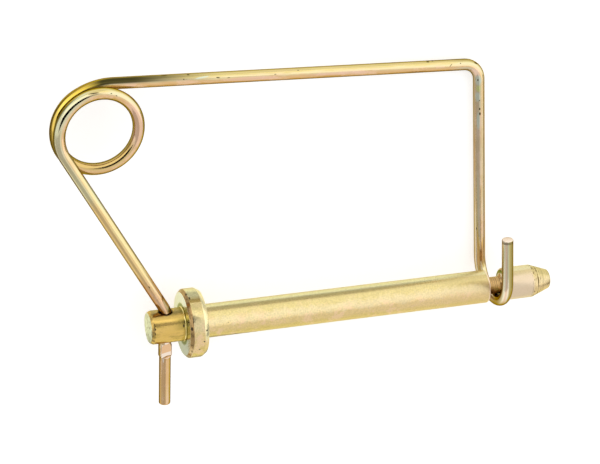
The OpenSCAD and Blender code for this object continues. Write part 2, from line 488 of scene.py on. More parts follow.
def outlinePin():
    # corners along the pin: place, radius, rounding and segments of the rounding
    p, at = pinSize, pinPlaces()
    shank, collar, neck, tip = p['shankRadius'], p['collarRadius'], p['neckRadius'], p['tipRadius']
    back, tipEnd = at['collarBack'], at['tipEnd']
    slope = (shank - tip) / p['tipLength']
    return [
        (at['headEnd'], 0, 0, 0),
        (at['headEnd'], shank - p['headChamfer'], p['edgeBreak'], 3),
        (at['headEnd'] + p['headChamferLength'], shank, p['rimBreak'], 3),
        (back, shank, p['headFillet'], 8),
        (back, collar - p['collarChamfer'], p['edgeBreak'], 3),
        (back + p['backChamferLength'], collar, p['rimBreak'], 3),
        (-p['frontChamferLength'], collar, p['rimBreak'], 3),
        (0, collar - p['collarChamfer'], p['edgeBreak'], 3),
        (0, shank, p['fineBreak'], 2),
        (at['grooveStart'], shank, p['shoulderRound'], 5),
        (at['grooveStart'], neck, p['neckCorner'], 2),
        (at['grooveEnd'], neck, p['grooveFillet'], 8),
        (at['grooveEnd'], shank, p['landRound'], 8),
        (at['tipStart'], shank, p['fineBreak'], 2),
        (tipEnd - p['tipChamfer'], tip + slope * p['tipChamfer'], p['fineBreak'], 2),
        (tipEnd, tip - p['tipChamfer'], p['fineBreak'], 2),
        (tipEnd, 0, 0, 0),
    ]


def turnShape(name, corners, steps):
    # draws the outline corner by corner, rounds the corners and spins it about the X axis
    deselectAll()
    bpy.ops.mesh.primitive_plane_add(size=0.001, location=(corners[0][0], 0, corners[0][1]))
    piece = nameNew(name)
    applyPlace(piece)
    edit(piece)
    bpy.ops.mesh.select_mode(type='VERT')
    bpy.ops.mesh.select_all(action='SELECT')
    bpy.ops.mesh.merge(type='CENTER')
    for here, there in zip(corners, corners[1:]):
        pushOut((there[0] - here[0], 0, there[1] - here[1]))
    for x, r, roundBy, segments in corners:
        if roundBy:
            corner = Vector((x, 0, r))
            selectVerts(piece, lambda co: (co - corner).length < touching)
            bpy.ops.mesh.bevel(offset=roundBy, segments=segments, affect='VERTICES')
    bpy.ops.mesh.select_all(action='SELECT')
    bpy.ops.mesh.spin(steps=steps, angle=math.radians(360), center=(0, 0, 0), axis=(1, 0, 0))
    bpy.ops.mesh.select_all(action='SELECT')
    bpy.ops.mesh.remove_doubles(threshold=touching)
    bpy.ops.mesh.normals_make_consistent(inside=False)
    leaveEdit()
    return piece


def makePin():
    p = pinSize
    pin = turnShape('pinBody', outlinePin(), p['steps'])
    # cross hole, countersunk at both ends
    reach = p['shankRadius'] + p['drillSpare']
    wide = p['holeRadius'] + p['holeSink'] + p['drillSpare']
    sinkStart = p['shankRadius'] - p['holeSink']
    drill = turnShape('drill', [
        (-reach, 0, 0, 0),
        (-reach, wide, 0, 0),
        (-sinkStart, p['holeRadius'], 0, 0),
        (sinkStart, p['holeRadius'], 0, 0),
        (reach, wide, 0, 0),
        (reach, 0, 0, 0),
    ], p['drillSteps'])
    holePlace = Matrix.Translation((pinPlaces()['hole'], 0, 0))
    drill.matrix_world = holePlace @ Matrix.Rotation(math.radians(90), 4, 'Z')
    applyPlace(drill)
    cutAway(pin, drill)
    smooth(pin)
    print('pin turned and drilled')
    return pin


pin = makePin()
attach(pin, 'pin')
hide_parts('pin')


def newMaterial(name):
    material = bpy.data.materials.new(name)
    material.use_nodes = True
    material.node_tree.nodes.clear()
    return material, material.node_tree


def newGroup(name, inputs, outputs):
    # an effect that several finishes share; inputs are name, kind and starting value
    group = bpy.data.node_groups.new(name, 'ShaderNodeTree')
    for label, kind, value in inputs:
        socket = group.interface.new_socket(label, in_out='INPUT', socket_type='NodeSocket' + kind)
        if value is not None:
            socket.default_value = value
    for label, kind in outputs:
        group.interface.new_socket(label, in_out='OUTPUT', socket_type='NodeSocket' + kind)
    return group, group.nodes.new('NodeGroupInput').outputs, group.nodes.new('NodeGroupOutput').inputs


def addNode(tree, kind, values=None, **settings):
    # values may be numbers, colours or sockets
    node = tree.nodes.new('ShaderNode' + kind)
    for key, value in settings.items():
        setattr(node, key, value)
    for key, value in (values or {}).items():
        if isinstance(value, bpy.types.NodeSocket):
            tree.links.new(value, node.inputs[key])
        else:
            node.inputs[key].default_value = value
    return node


def placeGroup(tree, group, values):
    return addNode(tree, 'Group', values, node_tree=group).outputs


def calc(tree, operation, first, second=0.0):
    return addNode(tree, 'Math', {0: first, 1: second}, operation=operation).outputs[0]


def times(tree, first, *others):
    for other in others:
        first = calc(tree, 'MULTIPLY', first, other)
    return first


def mixColour(tree, share, first, second, blend='MIX'):
    node = addNode(tree, 'Mix', {0: share, 6: first, 7: second}, data_type='RGBA', blend_type=blend)
    return node.outputs[2]


def ease(tree, value, low, high, out=(0, 1)):
    # smooth step of a value
    node = addNode(tree, 'MapRange', {
        'Value': value, 'From Min': low, 'From Max': high, 'To Min': out[0], 'To Max': out[1],
    }, interpolation_type='SMOOTHSTEP')
    return node.outputs['Result']


def between(tree, value, low, high, soft):
    # 1 from low to high, fading over the soft distance
    return times(tree, ease(tree, value, low - soft, low), ease(tree, value, high + soft, high))


def noise(tree, vector, scale, detail, rough):
    node = addNode(tree, 'TexNoise', {
        'Vector': vector, 'Scale': scale, 'Detail': detail, 'Roughness': rough})
    return node.outputs['Fac']


def stretch(tree, vector, scale):
    return addNode(tree, 'Mapping', {'Vector': vector, 'Scale': scale}).outputs[0]


def axes(tree, vector):
    return addNode(tree, 'SeparateXYZ', {0: vector}).outputs


def lengthOf(tree, vector):
    return addNode(tree, 'VectorMath', {0: vector}, operation='LENGTH').outputs['Value']


filmAndSheenEffect = {
    'sideLean': (-0.55, -0.10),     # lean over which each tint takes over from the one before
    'frontLean': (-0.05, 0.35),
    'topLean': (0.40, 0.75),
    'crownLean': (0.94, 0.985),
    'patchDetail': 5.0,
    'patchRough': 0.72,
    'middle': 0.5,                  # what a noise is on average
}


def makeFilmAndSheenGroup():
    # the plating's tint with painted reflection and shade: its colour goes by how far the surface leans
    # towards the pin's upright direction, so the lean tints are partly the plating's own colour and
    # partly painted light
    look = filmAndSheenEffect
    group, given, out = newGroup('filmAndPaintedSheen', [
        ('Vector', 'Vector', None),
        ('Normal', 'Vector', None),
        ('Under', 'Color', (0.5, 0.5, 0.5, 1)),
        ('Side', 'Color', (0.5, 0.5, 0.5, 1)),
        ('Front', 'Color', (0.5, 0.5, 0.5, 1)),
        ('Top', 'Color', (0.5, 0.5, 0.5, 1)),
        ('Crown', 'Color', (0.5, 0.5, 0.5, 1)),
        ('Patch Scale', 'Float', 60.0),
        ('Wander', 'Float', 0.8),
    ], [('Color', 'Color'), ('Patch', 'Float')])
    patch = noise(group, given['Vector'], given['Patch Scale'], look['patchDetail'], look['patchRough'])
    lean = axes(group, given['Normal'])['Y']
    wander = times(group, calc(group, 'SUBTRACT', patch, look['middle']), given['Wander'])
    moved = calc(group, 'ADD', lean, wander)
    filmAndSheen = mixColour(group, ease(group, moved, *look['sideLean']), given['Under'], given['Side'])
    filmAndSheen = mixColour(group, ease(group, moved, *look['frontLean']), filmAndSheen, given['Front'])
    filmAndSheen = mixColour(group, ease(group, moved, *look['topLean']), filmAndSheen, given['Top'])
    filmAndSheen = mixColour(group, ease(group, lean, *look['crownLean']), filmAndSheen, given['Crown'])
    group.links.new(filmAndSheen, out['Color'])
    group.links.new(patch, out['Patch'])
    return group


fleckEffect = {
    'detail': 5.0,
    'rough': 0.8,
}


def makeFleckGroup():
    # pink flecks of the plating's own tone, more of them on the side that faces down; that extra pink on
    # the downward side, given out as Below, is a painted reflection
    group, given, out = newGroup('pinkFlecks', [
        ('Vector', 'Vector', None),
        ('Normal', 'Vector', None),
        ('Scale', 'Float', 200.0),
        ('Start', 'Float', 0.5),       # noise at which a fleck starts, and at which it is full
        ('Full', 'Float', 0.6),
        ('Upper Lean', 'Float', 0.6),  # lean at which they are fewest, and at which they are most
        ('Lower Lean', 'Float', 0.1),
        ('Least', 'Float', 0.1),
        ('Most', 'Float', 0.6),
    ], [('Mask', 'Float'), ('Below', 'Float')])
    lean = axes(group, given['Normal'])['Y']
    below = ease(group, lean, given['Upper Lean'], given['Lower Lean'], (given['Least'], given['Most']))
    cloud = noise(group, given['Vector'], given['Scale'], fleckEffect['detail'], fleckEffect['rough'])
    fleck = ease(group, cloud, given['Start'], given['Full'])
    group.links.new(times(group, fleck, below), out['Mask'])
    group.links.new(below, out['Below'])
    return group


grainEffect = {
    'detail': 3.0,
    'rough': 0.6,
    'darkest': 0.35,
    'lightest': 0.62,
}


def makeGrainGroup():
    # the zinc's fine grain: a faint mottle of the colour and a height
    look = grainEffect
    group, given, out = newGroup('zincGrain', [
        ('Vector', 'Vector', None),
        ('Scale', 'Float', 2000.0),
        ('Dark', 'Float', 0.9),
    ], [('Shade', 'Float'), ('Height', 'Float')])
    grain = noise(group, given['Vector'], given['Scale'], look['detail'], look['rough'])
    shade = addNode(group, 'MapRange', {
        'Value': grain, 'From Min': look['darkest'], 'From Max': look['lightest'],
        'To Min': given['Dark'], 'To Max': 1.0})
    group.links.new(shade.outputs['Result'], out['Shade'])
    group.links.new(grain, out['Height'])
    return group


nickEffect = {
    'edge': (1.15, 0.70),      # distance from the middle at which a nick starts, and at which it is full
    'ragged': 0.3,
    'raggedNoise': (3000.0, 2.0, 0.5),
}


def makeNickGroup():
    # one mark on round stock; the vector holds the place across the stock in x and y and along it in z
    look = nickEffect
    group, given, out = newGroup('nick', [
        ('Vector', 'Vector', None),
        ('Run', 'Float', 0.0),
        ('Around', 'Float', 0.0),
        ('Long', 'Float', 0.001),
        ('Wide', 'Float', 0.0005),
        ('Slant', 'Float', 0.0),
    ], [('Mask', 'Float')])

    def turned(first, second, angle):
        # the first axis of a plane turned by the angle
        a = times(group, first, calc(group, 'COSINE', angle))
        b = times(group, second, calc(group, 'SINE', angle))
        return calc(group, 'ADD', a, b)

    place = axes(group, given['Vector'])
    around = calc(group, 'RADIANS', given['Around'])
    slant = calc(group, 'RADIANS', given['Slant'])
    outward = turned(place['X'], place['Y'], around)
    across = turned(place['Y'], times(group, place['X'], -1.0), around)
    along = calc(group, 'SUBTRACT', place['Z'], given['Run'])
    longWay = calc(group, 'DIVIDE', turned(along, across, slant), given['Long'])
    shortWay = calc(group, 'DIVIDE', turned(across, times(group, along, -1.0), slant), given['Wide'])
    squares = calc(group, 'ADD', times(group, longWay, longWay), times(group, shortWay, shortWay))
    ragged = times(group, noise(group, given['Vector'], *look['raggedNoise']), look['ragged'])
    away = calc(group, 'ADD', calc(group, 'SQRT', squares), ragged)
    nearSide = calc(group, 'GREATER_THAN', outward, 0.0)
    group.links.new(times(group, ease(group, away, *look['edge']), nearSide), out['Mask'])
    return group


speckEffect = {
    'rarity': 0.8,             # share of the cells that have no speck
}


def makeSpeckGroup():
    # small dark pits scattered over the surface
    group, given, out = newGroup('specks', [
        ('Vector', 'Vector', None),
        ('Scale', 'Float', 400.0),
        ('Size', 'Float', 0.12),
    ], [('Mask', 'Float')])
    cells = addNode(group, 'TexVoronoi', {
        'Vector': given['Vector'], 'Scale': given['Scale']}, feature='F1')
    pick = addNode(group, 'SeparateColor', {0: cells.outputs['Color']}).outputs['Red']
    chosen = calc(group, 'GREATER_THAN', pick, speckEffect['rarity'])
    size = times(group, given['Size'], pick)
    spot = calc(group, 'LESS_THAN', cells.outputs['Distance'], size)
    group.links.new(times(group, chosen, spot), out['Mask'])
    return group


filmAndPaintedSheen = makeFilmAndSheenGroup()
pinkFlecks = makeFleckGroup()
zincGrain = makeGrainGroup()
nickMark = makeNickGroup()
speckPits = makeSpeckGroup()


def addNicks(tree, vector, nicks):
    # nicks are run and size in millimetres and place round in degrees; gives one mask for all of them
    masks = []
    for run, around, longWay, wide, slant in nicks:
        nick = placeGroup(tree, nickMark, {
            'Vector': vector, 'Run': run / 1000, 'Around': around,
            'Long': longWay / 2000, 'Wide': wide / 2000, 'Slant': slant})
        masks.append(nick['Mask'])
    whole = masks[0]
    for mask in masks[1:]:
        whole = calc(tree, 'MAXIMUM', whole, mask)
    return whole


def inZone(skin, name):
    # 1 on a stretch of the piece; a skin holds a finish's dictionary, its node tree, the colour so far,
    # the run along the piece, the landmarks on that run, and the sockets that its masks are made from
    start, startOn, stop, stopOn, fade = skin['look']['zone'][name]
    low, high = skin['landmarks'][start] + startOn, skin['landmarks'][stop] + stopOn
    return between(skin['tree'], skin['run'], low, high, fade)


def pastPoint(skin, name):
    # grows from 0 to 1 along the piece, near a landmark
    landmark, low, high = skin['look']['rise'][name]
    start = skin['landmarks'][landmark]
    return ease(skin['tree'], skin['run'], start + low, start + high)


def inSpan(skin, name, value, out=(0, 1)):
    return ease(skin['tree'], value, *skin['look']['span'][name], out)


def inBand(skin, name, value):
    return between(skin['tree'], value, *skin['look']['band'][name])


def cover(skin, paint, *masks):
    # lays a paint over the colour as far as the masks let it
    skin['colour'] = mixColour(skin['tree'], times(skin['tree'], *masks), skin['colour'], paint)


def lay(skin, name, *masks):
    # the same with one of the finish's tints, which is a paint and how much of what is below it covers
    paint, share = skin['look']['tint'][name]
    cover(skin, skin['look'][paint], *masks, share)


def plate(skin, roughness, height):
    # the plated metal's shader; edge is its tint where it is seen slantwise
    tree, look = skin['tree'], skin['look']
    bump = addNode(tree, 'Bump', {'Height': height, 'Distance': look['bumpDepth'], 'Strength': 1.0})
    shader = addNode(tree, 'BsdfPrincipled', {
        'Metallic': 1.0, 'Base Color': skin['colour'], 'Roughness': roughness,
        'Specular Tint': look['edge'], 'Normal': bump.outputs['Normal']})
    addNode(tree, 'OutputMaterial', {'Surface': shader.outputs['BSDF']})


wireFinish = {
    # tints by lean: partly the plating's own colour, partly painted reflection and shade
    'filmAndSheen': {
        'Under': (0.68, 0.41, 0.14, 1),
        'Side': (0.76, 0.49, 0.24, 1),
        'Front': (0.78, 0.65, 0.36, 1),
        'Top': (0.70, 0.57, 0.23, 1),
        # a painted dark edge along the wire's top
        'Crown': (0.58, 0.49, 0.18, 1),
        'Patch Scale': 260.0,
        'Wander': 1.3,
    },
    'flecks': {
        'Scale': 330.0,
        'Start': 0.49,
        'Full': 0.58,
        'Upper Lean': 0.60,
        'Lower Lean': 0.05,
        'Least': 0.1,
        'Most': 0.6,
    },
    'drawLines': {'Scale': 1800.0, 'Dark': 0.88},
    'specks': {'Scale': 260.0, 'Size': 0.06},
    # how each pattern stretches along the wire
    'patchStretch': (1, 1, 0.25),
    'fleckStretch': (1, 1, 0.35),
    'lineStretch': (1, 1, 0.03),
    'streakStretch': (1, 1, 0.04),
    'cloudStretch': (1, 1, 0.3),
    # scale, detail and roughness of a noise
    'streaks': (900.0, 2.0, 0.5),
    'clouds': (300.0, 2.0, 0.5),
    'edge': (0.42, 0.30, 0.10, 1),
    'slant': (0.40, 0.29, 0.05, 1),  # painted shade, laid mostly where the surface is seen slantwise
    'blush': (0.86, 0.58, 0.40, 1),
    'leg': (0.84, 0.70, 0.30, 1),
    'olive': (0.06, 0.05, 0.015, 1),
    'dark': (0.10, 0.07, 0.03, 1),
    'cut': (0.90, 0.76, 0.62, 1),
    'crimp': (0.78, 0.50, 0.28, 1),
    # painted edge shade and a painted highlight on the leg's foot, and painted edge shade on the tail
    'footEdgeShade': (0.42, 0.19, 0.05, 1),
    'footHighlight': (0.84, 0.66, 0.56, 1),
    'tailEdgeShade': (0.50, 0.31, 0.03, 1),
    'silver': (0.62, 0.66, 0.44, 1),
    'amber': (0.95, 0.66, 0.08, 1),
    # a painted dark line on the second turn, and painted edge shade on the coil
    'amberShadeLine': (0.20, 0.11, 0.02, 1),
    'coilEdgeShade': (0.46, 0.33, 0.01, 1),
    'brown': (0.60, 0.42, 0.15, 1),
    'greyBand': (0.46, 0.47, 0.38, 1),
    'pale': (0.96, 0.88, 0.68, 1),
    # painted shade on the hook's left side as seen
    'hookSideShade': (0.46, 0.32, 0.25, 1),
    'hookTurn': 38,                  # degrees from +X to the right of the hook's free end as seen
    # each tint: its paint, then how much of what is below it covers
    'tint': {
        'flecks': ('blush', 1),
        'leg': ('leg', 0.35),
        # a painted dark reflection along the arm's top
        'armDarkReflection': ('olive', 1),
        'frontTurn': ('silver', 0.8),
        'coilLeft': ('silver', 0.6),
        'coilFar': ('brown', 1),
        'secondTurn': ('amber', 0.75),
        'turnLines': ('slant', 0.8),
        'dropStreaks': ('silver', 0.35),
        'dropBand': ('greyBand', 0.45),
        # painted shade along the drop's outer edge
        'dropOutsideShade': ('slant', 0.5),
        # painted reflection and shade across the hook, laid by the view's left and right
        'hookSheenBand': ('blush', 0.75),
        'hookLeftShade': ('hookSideShade', 0.75),
        'hookRightShade': ('slant', 0.8),
        # painted shade between the coil's strands
        'strandGapShade': ('dark', 0.9),
        'roseStains': ('roseStain', 0.55),
        'blueStains': ('blueStain', 0.55),
        'greenStains': ('greenStain', 0.55),
        # painted shade and a painted highlight, laid by the slant of view
        'coilEdgeShade': ('coilEdgeShade', 0.85),
        'amberShadeLine': ('amberShadeLine', 0.75),
        'slant': ('slant', 0.92),
        'footHighlight': ('footHighlight', 0.6),
        'footEdgeShade': ('footEdgeShade', 0.7),
        'tailEdgeShade': ('tailEdgeShade', 0.8),
        # a painted dark reflection by the hook's end
        'endRimDarkReflection': ('dark', 0.6),
        'marks': ('dark', 1),
    },
    'hookShare': 0.8,
    'speckShare': 0.6,
    # a stretch of the wire: from and to, each a landmark and metres on from it, then the fade
    'zone': {
        'leg': ('bend', 0.022, 'coil', -0.012, 0.012),
        'frontTurn': ('coil', -0.03, 'coil', 0.045, 0.008),
        'coilLeft': ('coil', -0.016, 'coil', 0.022, 0.008),
        'coilFar': ('coil', 0.062, 'coil', 0.096, 0.006),
        'secondTurn': ('coil', 0.098, 'arm', -0.012, 0.008),
        'inFront': ('coil', -0.002, 'coil', 0.032, 0.004),
        'behind': ('coil', 0.098, 'arm', -0.010, 0.002),
        'coilEdgeShade': ('coil', 0.01, 'arm', -0.006, 0.006),
        'drop': ('corner', 0, 'hook', 0.02, 0.008),
        'foot': ('bend', -0.004, 'bend', 0.014, 0.010),
        'endRimDarkReflection': ('end', -0.0012, 'end', -0.0004, 0.0003),
    },
    # what starts along the wire: a landmark, then metres on from it to where it starts and is full
    'rise': {
        'hook': ('hook', 0.01, 0.03),
        'freeEnd': ('hook', 0.018, 0.030),
        'tail': ('bend', -0.006, -0.010),
        'specks': ('bend', 0.0, 0.002),
    },
    # the value at which an effect starts and is full: of the run in metres for the ends of the arm's
    # painted reflection, of the place across the wire in metres, of the lean from -1 to 1, of a noise or
    # of the slant of view
    'span': {
        'armReflectionStart': (0.224, 0.240),
        'armReflectionEnd': (0.290, 0.254),
        'armReflectionTop': (0.0001, -0.0009),
        'armReflectionStreaks': (0.40, 0.56),
        'armReflectionCore': (0, 1),
        'upward': (-0.15, 0.40),
        'leftward': (0.35, -0.10),
        'clouds': (0.40, 0.60),
        'turnLines': (0.50, 0.60),
        'dropStreaks': (0.42, 0.58),
        'dropOutsideShade': (-0.0014, -0.0019),
        'hookStreaks': (0.42, 0.56),
        'hookLeftShade': (-0.30, -0.75),
        'hookRightShade': (0.34, 0.70),
        'turnedAway': (0.30, -0.10),
        'turnedTo': (0.80, 0.96),
        'coilEdgeShade': (0.26, 0.50),
        'slant': (0.34, 0.82),
        'footHighlight': (0.16, 0.04),
        'footEdgeShade': (0.16, 0.44),
        'tailEdgeShade': (0.24, 0.54),
        'patches': (0.35, 0.65),
    },
    # the same for a band: from, to and how softly it fades
    'band': {
        'armReflectionCore': (-0.0018, -0.0008, 0.0006),
        'drop': (0.0005, 0.0018, 0.0004),
        'rosy': (0.00, 0.20, 0.10),
        'amberShadeLine': (0.24, 0.46, 0.05),
    },
    'streakLeast': 0.7,              # how dark the painted reflection is between its streaks and beside its core
    'coreLeast': 0.6,
    'faceDepth': 0.0001,             # metres: what lies deeper than this is a cut or pressed face
    'noRun': 0.001,                  # metres: the pressed faces have no run, and the tail's end is at 0
    'roughness': (0.10, 0.18),
    'lineHeight': 0.5,
    'bumpDepth': 0.00002,
    # stains: run mm, degrees round, length mm, width mm, slant
    'roseStains': [
        (391, -66, 7, 3.0, 0),
        (300, -84, 26, 2.0, 0),
        (335, -92, 30, 1.4, 0),
        (168, -64, 26, 5.0, 0),
    ],
    'blueStains': [
        (281, -122, 7, 0.8, -8),
        (395, -62, 6, 3.0, 0),
        (402, -52, 5, 2.4, 0),
        (412, -60, 9, 1.6, 0),
    ],
    'greenStains': [(398.6, -62, 3.4, 2.2, 0)],
    'roseStain': (0.84, 0.56, 0.44, 1),
    'blueStain': (0.56, 0.70, 0.62, 1),
    'greenStain': (0.56, 0.66, 0.20, 1),
    # the same for nicks
    'nicks': [
        (53, -100, 1.5, 0.5, 0),
        (145, -130, 4.5, 0.6, 8),
        (151, -113, 0.8, 0.4, 0),
        (153, -102, 0.8, 0.4, 0),
        (193, -62, 0.9, 0.4, 20),
        (267, -165, 3.0, 0.6, 0),
        (274, -113, 0.7, 0.5, 0),
        (276, -160, 1.2, 0.9, 0),
        (287, -112, 1.9, 0.5, 8),
        (291, -106, 1.3, 0.35, -8),
        (309, -115, 1.1, 0.3, 0),
        (318, -143, 0.7, 0.5, 0),
        (370, -163, 1.6, 0.8, 0),
        (372, -170, 0.9, 0.5, 0),
        (379, -110, 2.0, 0.3, -45),
        (383, -125, 0.6, 0.5, 0),
        (389, -150, 2.0, 0.8, -20),
        (395, -58, 1.2, 0.6, 10),
        (407, -74, 1.3, 0.8, 0),
        (409, -76, 1.6, 0.9, 0),
        (403.5, -72, 0.6, 0.5, 0),
        (458, -36, 1.2, 0.6, 0),
    ],
}


def readWire():
    look = wireFinish
    material, tree = newMaterial('wirePlating')
    place = addNode(tree, 'TexCoord').outputs
    stock = addNode(tree, 'Attribute', attribute_name='stock').outputs['Vector']
    across = axes(tree, stock)
    facing = axes(tree, place['Normal'])
    return material, {
        'look': look,
        'tree': tree,
        'landmarks': wireRuns,
        'run': across['Z'],
        'stock': stock,
        'x': across['X'],
        'y': across['Y'],
        'normal': place['Normal'],
        'right': facing['X'],
        'up': facing['Y'],
        'front': facing['Z'],
        'streak': noise(tree, stretch(tree, stock, look['streakStretch']), *look['streaks']),
        'slant': addNode(tree, 'LayerWeight', {'Blend': 0.5}).outputs['Facing'],
    }


def paintArmReflection(skin):
    # a painted dark reflection along the top of the arm's first stretch
    look, core = skin['look'], inBand(skin, 'armReflectionCore', skin['y'])
    lay(
        skin, 'armDarkReflection',
        inSpan(skin, 'armReflectionStart', skin['run']),
        inSpan(skin, 'armReflectionEnd', skin['run']),
        inSpan(skin, 'armReflectionTop', skin['x']),
        inSpan(skin, 'armReflectionStreaks', skin['streak'], (look['streakLeast'], 1)),
        inSpan(skin, 'armReflectionCore', core, (look['coreLeast'], 1)),
    )


def tintCoil(skin):
    # silvery green patches on the front turn, brown on its far side, amber where the second leaves it
    tree, look = skin['tree'], skin['look']
    clouds = noise(tree, stretch(tree, skin['stock'], look['cloudStretch']), *look['clouds'])
    upward = inSpan(skin, 'upward', skin['up'])
    skin['secondTurn'] = inZone(skin, 'secondTurn')
    lay(skin, 'frontTurn', inZone(skin, 'frontTurn'), upward, inSpan(skin, 'clouds', clouds))
    lay(skin, 'coilLeft', inZone(skin, 'coilLeft'), inSpan(skin, 'leftward', skin['right']))
    lay(skin, 'coilFar', inZone(skin, 'coilFar'), upward)
    lay(skin, 'secondTurn', skin['secondTurn'])
    lay(skin, 'turnLines', skin['secondTurn'], inSpan(skin, 'turnLines', skin['streak']))


def tintDrop(skin):
    # streaks and a band of grey-green, and painted olive shade along the outer edge
    drop = inZone(skin, 'drop')
    lay(skin, 'dropStreaks', drop, inSpan(skin, 'dropStreaks', skin['streak']))
    lay(skin, 'dropBand', drop, inBand(skin, 'drop', skin['x']))
    lay(skin, 'dropOutsideShade', drop, inSpan(skin, 'dropOutsideShade', skin['x']))


def tintHook(skin):
    # paler; across the view, the free end gets a painted pink reflection down its middle and painted
    # olive shade on its right, and the hook gets painted mauve shade on its left
    tree, look = skin['tree'], skin['look']
    hook, freeEnd = pastPoint(skin, 'hook'), pastPoint(skin, 'freeEnd')
    streaks = inSpan(skin, 'hookStreaks', skin['streak'])
    cover(skin, mixColour(tree, streaks, look['pale'], look['silver']), hook, look['hookShare'])
    turn = math.radians(look['hookTurn'])
    rightward = times(tree, skin['right'], math.cos(turn))
    rightward = calc(tree, 'ADD', rightward, times(tree, skin['front'], math.sin(turn)))
    lay(skin, 'hookSheenBand', freeEnd, inBand(skin, 'rosy', rightward))
    lay(skin, 'hookLeftShade', hook, inSpan(skin, 'hookLeftShade', rightward))
    lay(skin, 'hookRightShade', freeEnd, inSpan(skin, 'hookRightShade', rightward))


def shadeStrands(skin):
    # painted shade darkens the coil's strands where they face each other
    near = times(skin['tree'], inZone(skin, 'inFront'), inSpan(skin, 'turnedAway', skin['front']))
    far = times(skin['tree'], inZone(skin, 'behind'), inSpan(skin, 'turnedTo', skin['front']))
    lay(skin, 'strandGapShade', calc(skin['tree'], 'MAXIMUM', near, far))


def stainWire(skin):
    for stains in ('roseStains', 'blueStains', 'greenStains'):
        lay(skin, stains, addNicks(skin['tree'], skin['stock'], skin['look'][stains]))


def paintEdgeShadeAndShine(skin):
    # painted shade by the slant of view: browner where the surface is seen slantwise, a painted dark line
    # on the second turn, deep orange painted edge shade on the leg's foot and the tail, and a painted
    # highlight where the foot faces the view
    slant, foot = skin['slant'], inZone(skin, 'foot')
    lay(skin, 'coilEdgeShade', inZone(skin, 'coilEdgeShade'), inSpan(skin, 'coilEdgeShade', slant))
    lay(skin, 'amberShadeLine', skin['secondTurn'], inBand(skin, 'amberShadeLine', slant))
    lay(skin, 'slant', inSpan(skin, 'slant', slant))
    lay(skin, 'footHighlight', foot, inSpan(skin, 'footHighlight', slant))
    lay(skin, 'footEdgeShade', foot, inSpan(skin, 'footEdgeShade', slant))
    lay(skin, 'tailEdgeShade', pastPoint(skin, 'tail'), inSpan(skin, 'tailEdgeShade', slant))


def tintFaces(skin):
    # a painted dark reflection as a rim by the hook's end, which is pale; the tail's end and the crimp's
    # flats are rosy
    tree, look, x, y = skin['tree'], skin['look'], skin['x'], skin['y']
    lay(skin, 'endRimDarkReflection', inZone(skin, 'endRimDarkReflection'))
    reach = calc(tree, 'SQRT', calc(tree, 'ADD', times(tree, x, x), times(tree, y, y)))
    face = calc(tree, 'LESS_THAN', reach, wireSize['diameter'] / 2 - look['faceDepth'])
    pressed = calc(tree, 'LESS_THAN', skin['run'], look['noRun'])
    cover(skin, mixColour(tree, pressed, look['cut'], look['crimp']), face)


def makeWirePlating():
    material, skin = readWire()
    tree, look, stock = skin['tree'], skin['look'], skin['stock']
    filmAndSheen = placeGroup(tree, filmAndPaintedSheen, {
        'Vector': stretch(tree, stock, look['patchStretch']), 'Normal': skin['normal'], **look['filmAndSheen']})
    drawn = placeGroup(tree, zincGrain, {
        'Vector': stretch(tree, stock, look['lineStretch']), **look['drawLines']})
    flecks = placeGroup(tree, pinkFlecks, {
        'Vector': stretch(tree, stock, look['fleckStretch']), 'Normal': skin['normal'], **look['flecks']})
    skin['colour'] = mixColour(tree, 1.0, filmAndSheen['Color'], drawn['Shade'], 'MULTIPLY')
    onLeg = inZone(skin, 'leg')
    lay(skin, 'flecks', flecks['Mask'], calc(tree, 'SUBTRACT', 1.0, onLeg))
    lay(skin, 'leg', onLeg)
    for dress in (paintArmReflection, tintCoil, tintDrop, tintHook, shadeStrands, stainWire, paintEdgeShadeAndShine, tintFaces):
        dress(skin)
    specks = placeGroup(tree, speckPits, {'Vector': stock, **look['specks']})['Mask']
    specks = times(tree, specks, pastPoint(skin, 'specks'), look['speckShare'])
    marks = calc(tree, 'MAXIMUM', addNicks(tree, stock, look['nicks']), specks)
    lay(skin, 'marks', marks)
    roughness = inSpan(skin, 'patches', filmAndSheen['Patch'], look['roughness'])
    height = calc(tree, 'SUBTRACT', times(tree, drawn['Height'], look['lineHeight']), marks)
    plate(skin, roughness, height)
    return material


